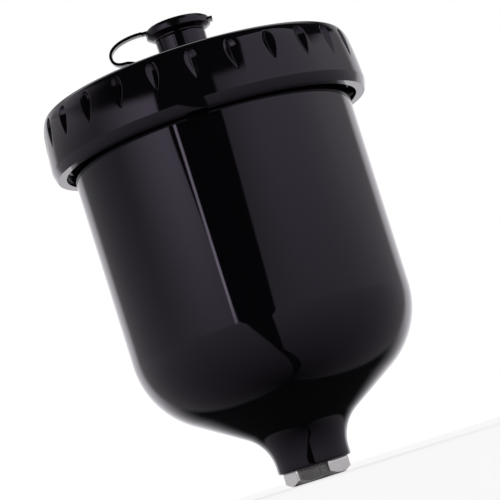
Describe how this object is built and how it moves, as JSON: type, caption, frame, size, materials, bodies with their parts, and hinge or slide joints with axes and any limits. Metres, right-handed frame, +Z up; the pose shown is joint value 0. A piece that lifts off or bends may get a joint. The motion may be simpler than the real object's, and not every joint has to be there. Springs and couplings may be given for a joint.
{
  "type": "paint cup with lid",
  "caption": "Round black gravity-feed paint cup with a domed shoulder, a hexagonal screw outlet, a screw lid with finger notches and a strapped vent cap.",
  "frame": {"origin": "centre of the outlet nut's seat face, at the mouth of its threaded hole", "axes": "+Z up the axis of the cup, from the outlet to the lid; the vent cap's strap lies towards -X; -Y is the side that the picture shows"},
  "size_m": [0.1114, 0.1114, 0.1639],
  "materials": {
    "cup_plastic": "high gloss moulded black",
    "lid_plastic": "high gloss moulded black",
    "soft_black": "satin flexible black",
    "plated_nut": "bright plated, lightly worn",
    "white_washer": "waxy white",
    "white_nylon": "natural nylon",
    "nylon_mesh": "fine woven mesh",
    "gasket_rubber": "smooth dark rubber"
  },
  "bodies": {
    "cup": {"cup_body": "cup_plastic", "outlet_nut": "plated_nut", "outlet_washer": "white_washer", "strainer_frame": "white_nylon", "strainer_mesh": "nylon_mesh"},
    "seal": {"lid_gasket": "gasket_rubber"},
    "lid": {"lid_shell": "lid_plastic", "drip_check": "white_nylon"},
    "strap": {"strap_ring": "soft_black", "cap_strap": "soft_black"},
    "cap": {"vent_cap": "soft_black"}
  },
  "joints": [
    {"name": "lid_rise", "type": "slide", "parent": "cup", "child": "seal", "axis": [0, 0, 1], "range_m": [0, 0.02251]},
    {"name": "lid_turn", "type": "hinge", "parent": "seal", "child": "lid", "pos_m": [0, 0, 0.1385], "axis": [0, 0, 1], "range_deg": [0, 810]},
    {"name": "ring_swivel", "type": "hinge", "parent": "lid", "child": "strap", "pos_m": [0, 0, 0.1523], "axis": [0, 0, 1], "continuous": true},
    {"name": "cap_flip", "type": "hinge", "parent": "strap", "child": "cap", "pos_m": [-0.02495, 0, 0.1566], "axis": [0, -1, 0], "range_deg": [0, 120], "deforming": ["cap_strap"]}
  ],
  "couplings": [
    {"joint": "lid_rise", "follows": "lid_turn", "m_per_rad": 0.0015915}
  ]
}
